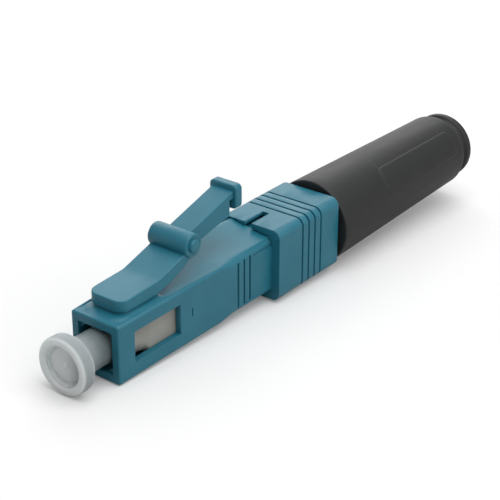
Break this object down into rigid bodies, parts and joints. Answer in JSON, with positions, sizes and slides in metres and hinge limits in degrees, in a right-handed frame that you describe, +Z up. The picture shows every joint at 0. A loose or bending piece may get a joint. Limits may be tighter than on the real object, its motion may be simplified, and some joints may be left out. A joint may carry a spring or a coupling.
{
  "type": "lc fibre connector",
  "caption": "Small square optical fibre plug with a sprung latch arm, side windows, a sliding lock sleeve, a black tail cap and a cupped dust cap over its ferrule.",
  "frame": {"origin": "on the fibre's axis, in the plane of the plug nose's front face", "axes": "+X along the fibre, from the nose back to the cable entry; +Z up, towards the latch; Y across"},
  "size_m": [0.0514, 0.0074, 0.0114],
  "materials": {
    "teal_plastic": "fine satin moulding",
    "cap_plastic": "soft translucent grey",
    "ferrule_ceramic": "polished white ceramic",
    "holder_metal": "turned nickel-plated metal",
    "fibre_glass": "bare glass fibre",
    "spring_steel": "drawn spring steel",
    "pale_plastic": "grey-beige moulding",
    "splice_plastic": "ivory moulding",
    "black_plastic": "soft black moulding"
  },
  "bodies": {
    "core": {"plug_housing": "teal_plastic", "inner_body": "pale_plastic", "splice_holder": "pale_plastic", "splice_base": "splice_plastic", "splice_lid": "splice_plastic", "splice_clip": "spring_steel", "tail_body": "black_plastic", "fibre_guide": "splice_plastic", "clamp_jaw_upper": "pale_plastic", "clamp_jaw_lower": "pale_plastic", "ferrule_spring": "spring_steel"},
    "latch": {"latch_arm": "teal_plastic"},
    "ferrule_unit": {"ferrule": "ferrule_ceramic", "ferrule_holder": "holder_metal", "fibre_stub": "fibre_glass"},
    "cap": {"dust_cap": "cap_plastic"},
    "sleeve": {"lock_sleeve": "teal_plastic"},
    "tail_cap": {"boot": "black_plastic"}
  },
  "joints": [
    {"name": "latch_press", "type": "hinge", "parent": "core", "child": "latch", "pos_m": [0.0052, 0, 0.00327], "axis": [0, 1, 0], "range_deg": [0, 8], "stiffness_Nm_per_rad": 0.02, "springref_deg": -1.15},
    {"name": "ferrule_float", "type": "slide", "parent": "core", "child": "ferrule_unit", "axis": [1, 0, 0], "range_m": [0, 0.0005], "stiffness_N_per_m": 500, "springref_m": -0.001, "deforming": ["ferrule_spring"]},
    {"name": "cap_pull", "type": "slide", "parent": "core", "child": "cap", "axis": [-1, 0, 0], "range_m": [0, 0.006]},
    {"name": "sleeve_lock", "type": "slide", "parent": "core", "child": "sleeve", "axis": [-1, 0, 0], "range_m": [0, 0.002]},
    {"name": "tail_cap_off", "type": "slide", "parent": "core", "child": "tail_cap", "axis": [1, 0, 0], "range_m": [0, 0.018]}
  ]
}
